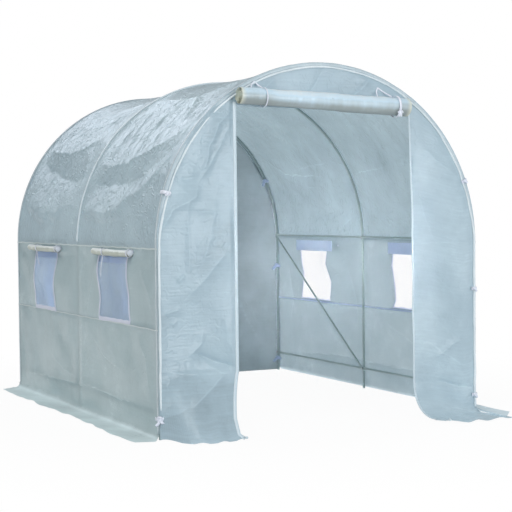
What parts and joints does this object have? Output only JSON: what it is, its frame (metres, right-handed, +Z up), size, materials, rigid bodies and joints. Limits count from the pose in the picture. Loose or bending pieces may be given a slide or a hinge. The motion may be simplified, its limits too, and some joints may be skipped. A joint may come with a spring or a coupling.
{
  "type": "walk-in tunnel greenhouse",
  "caption": "Walk-in tunnel greenhouse: grey tube hoops and rails under a pale translucent film cover with rolled-up door, screened side windows and ground skirts.",
  "frame": {"origin": "on the ground, at the centre of the plan", "axes": "X across the tunnel, Y along it with the doorway at -Y, Z up"},
  "size_m": [2.337, 3.202, 2.0035],
  "materials": {
    "tube": "dark grey-green coated steel tube, slightly glossy",
    "film": "pale blue-white woven film, translucent, creased",
    "screen": "fine pale window netting",
    "binding": "white woven tape and zip"
  },
  "bodies": {
    "root": {"front_left_leg": "tube", "front_left_arch": "tube", "front_right_leg": "tube", "front_right_arch": "tube", "middle_left_leg": "tube", "middle_left_arch": "tube", "middle_right_leg": "tube", "middle_right_arch": "tube", "rear_left_leg": "tube", "rear_left_arch": "tube", "rear_right_leg": "tube", "rear_right_arch": "tube", "front_left_middle_rail": "tube", "rear_left_middle_rail": "tube", "front_left_lower_rail": "tube", "rear_left_lower_rail": "tube", "front_right_middle_rail": "tube", "rear_right_middle_rail": "tube", "front_right_lower_rail": "tube", "rear_right_lower_rail": "tube", "front_ridge_rail": "tube", "rear_ridge_rail": "tube", "left_brace": "tube", "right_brace": "tube", "front_roof_cover": "film", "rear_roof_cover": "film", "left_window_band": "film", "right_window_band": "film", "left_lower_wall": "film", "right_lower_wall": "film", "rear_wall": "film", "front_left_panel": "film", "front_right_panel": "film", "front_top_panel": "film", "door_roll": "film", "front_left_window_flap": "film", "rear_left_window_flap": "film", "front_right_window_flap": "film", "rear_right_window_flap": "film", "left_window_meshes": "screen", "right_window_meshes": "screen", "left_door_zip": "binding", "right_door_zip": "binding", "front_ties": "binding", "rear_ties": "binding"}
  },
  "joints": []
}
